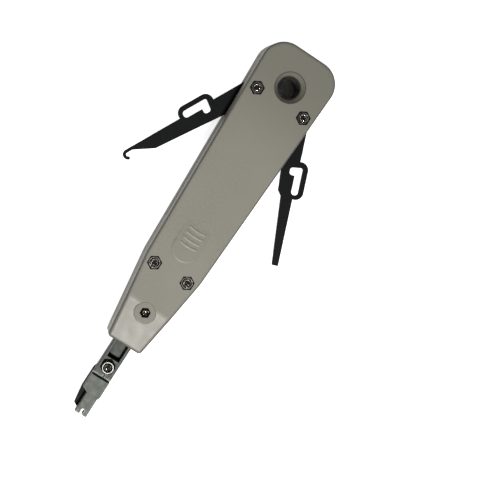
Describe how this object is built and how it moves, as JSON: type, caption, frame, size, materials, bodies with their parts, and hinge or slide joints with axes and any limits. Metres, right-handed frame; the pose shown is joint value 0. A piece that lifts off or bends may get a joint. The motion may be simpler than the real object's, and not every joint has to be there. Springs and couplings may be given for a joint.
{
  "type": "punch down tool",
  "caption": "Flat grey punch down tool with a sprung insertion blade and scissor at the nose, and a folding wire hook and release blade on the sides.",
  "frame": {"origin": "middle of the flat rear face of the handle, on its centreline at half its length", "axes": "+X to the right seen from the front, +Y along the handle from the insertion tip to the hanging hole, +Z out of the front face"},
  "size_m": [0.0814, 0.1788, 0.0225],
  "materials": {
    "casing_grey": "fine spark-eroded texture, satin",
    "black_steel": "black oxide, satin",
    "tool_steel": "ground, slightly grey-green",
    "bright_fasteners": "bright nickel plate",
    "spring_steel": "oiled",
    "bush_brass": "turned"
  },
  "bodies": {
    "casing": {"front_shell": "casing_grey", "rear_shell": "casing_grey", "hook_pivot_screw": "bright_fasteners", "hook_pivot_nut": "bright_fasteners", "hook_pivot_bush": "bush_brass", "hook_friction_washer": "spring_steel", "release_pivot_screw": "bright_fasteners", "release_pivot_nut": "bright_fasteners", "release_pivot_bush": "bush_brass", "release_friction_washer": "spring_steel", "lower_screws": "bright_fasteners", "lower_nuts": "bright_fasteners", "nose_screw": "bright_fasteners", "nose_nut": "bright_fasteners", "spring_seat": "spring_steel", "cam_pin": "spring_steel", "main_spring": "spring_steel"},
    "hook": {"hook_arm": "black_steel"},
    "release": {"release_blade": "black_steel"},
    "plunger": {"plunger_bar": "tool_steel", "guide_rod": "spring_steel", "insertion_blade": "tool_steel", "scissor_pivot_screw": "bright_fasteners", "scissor_pivot_nut": "bright_fasteners"},
    "scissor": {"scissor_blade": "black_steel"}
  },
  "joints": [
    {"name": "plunger_slide", "type": "slide", "parent": "casing", "child": "plunger", "axis": [0, 1, 0], "range_m": [0, 0.007], "stiffness_N_per_m": 2500, "springref_m": -0.008, "deforming": ["main_spring"]},
    {"name": "scissor_pivot", "type": "hinge", "parent": "plunger", "child": "scissor", "pos_m": [0, -0.08395, 0.0084], "axis": [0, 0, 1], "range_deg": [0, 9]},
    {"name": "hook_swing", "type": "hinge", "parent": "casing", "child": "hook", "pos_m": [-0.01155, 0.0481, 0.011], "axis": [0, 0, 1], "range_deg": [-74, 29.4]},
    {"name": "release_swing", "type": "hinge", "parent": "casing", "child": "release", "pos_m": [0.01155, 0.0481, 0.011], "axis": [0, 0, 1], "range_deg": [-23, 81]}
  ],
  "couplings": [
    {"joint": "scissor_pivot", "follows": "plunger_slide", "rad_per_m": 22.43}
  ]
}
